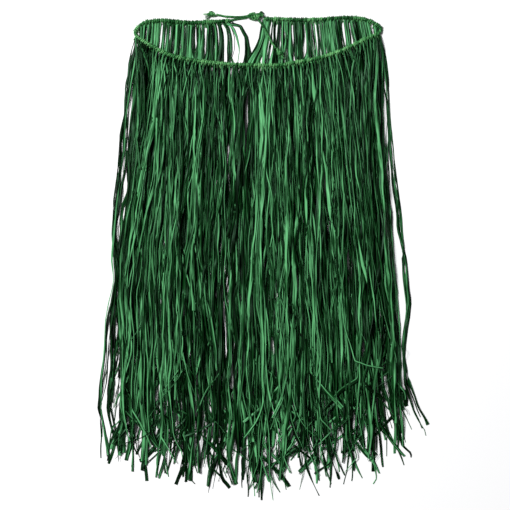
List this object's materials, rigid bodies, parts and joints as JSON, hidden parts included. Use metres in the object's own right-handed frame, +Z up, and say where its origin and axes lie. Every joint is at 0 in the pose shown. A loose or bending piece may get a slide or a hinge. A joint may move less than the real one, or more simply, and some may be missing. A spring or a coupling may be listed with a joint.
{
  "type": "raffia grass skirt",
  "caption": "Raffia grass skirt laid flat: dyed green strands hitched side by side on one waist cord that is knotted at the back with two free tails.",
  "frame": {"origin": "middle of the skirt's base where it rests on the ground, at the centre of its box without the two free tails", "axes": "+Y from the hem to the waist, +X to the right of someone facing the skirt's front, +Z up out of its front"},
  "size_m": [0.486, 0.7421, 0.0113],
  "materials": {
    "front_grass": "satin",
    "back_grass": "satin",
    "waist_cord": "satin",
    "tie_cord": "satin"
  },
  "bodies": {
    "root": {"front_lock_01": "front_grass", "front_lock_02": "front_grass", "front_lock_03": "front_grass", "front_lock_04": "front_grass", "front_lock_05": "front_grass", "front_lock_06": "front_grass", "front_lock_07": "front_grass", "front_lock_08": "front_grass", "front_lock_09": "front_grass", "front_lock_10": "front_grass", "front_lock_11": "front_grass", "front_lock_12": "front_grass", "front_lock_13": "front_grass", "front_lock_14": "front_grass", "front_lock_15": "front_grass", "front_lock_16": "front_grass", "back_left_lock_01": "back_grass", "back_left_lock_02": "back_grass", "back_left_lock_03": "back_grass", "back_left_lock_04": "back_grass", "back_left_lock_05": "back_grass", "back_left_lock_06": "back_grass", "back_left_lock_07": "back_grass", "back_right_lock_01": "back_grass", "back_right_lock_02": "back_grass", "back_right_lock_03": "back_grass", "back_right_lock_04": "back_grass", "back_right_lock_05": "back_grass", "back_right_lock_06": "back_grass", "back_right_lock_07": "back_grass", "back_right_lock_08": "back_grass", "waist_cord_front": "waist_cord", "waist_cord_back_left": "waist_cord", "waist_cord_back_right": "waist_cord", "tie_run_left": "tie_cord", "tie_knot": "tie_cord", "tail_upper": "tie_cord", "tail_upper_knot": "tie_cord", "tail_lower": "tie_cord", "tail_lower_knot": "tie_cord"}
  },
  "joints": []
}
